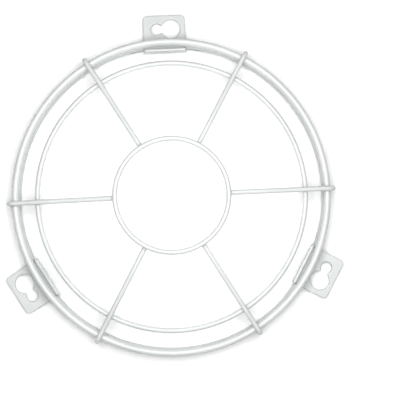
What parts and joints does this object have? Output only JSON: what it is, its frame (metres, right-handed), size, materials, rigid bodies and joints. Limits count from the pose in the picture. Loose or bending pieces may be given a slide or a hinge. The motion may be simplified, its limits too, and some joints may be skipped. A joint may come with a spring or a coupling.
{
  "type": "wire fan guard",
  "caption": "Round white powder-coated wire guard for a fan, with concentric rings welded to bent radial spokes and folded keyhole tabs for screwing it to a wall.",
  "frame": {"origin": "on the guard's axis, in the wall plane that the three tabs lie on", "axes": "+Z along the guard's axis, away from the wall towards the viewer; +Y towards the middle of tab_1"},
  "size_m": [0.2154, 0.2176, 0.0277],
  "materials": {
    "white_powder_coat": "satin"
  },
  "bodies": {
    "root": {"centre_ring": "white_powder_coat", "middle_ring": "white_powder_coat", "front_outer_ring": "white_powder_coat", "rear_outer_ring": "white_powder_coat", "spoke_1": "white_powder_coat", "spoke_2": "white_powder_coat", "spoke_3": "white_powder_coat", "spoke_4": "white_powder_coat", "spoke_5": "white_powder_coat", "spoke_6": "white_powder_coat", "tab_1": "white_powder_coat", "tab_2": "white_powder_coat", "tab_3": "white_powder_coat"}
  },
  "joints": []
}
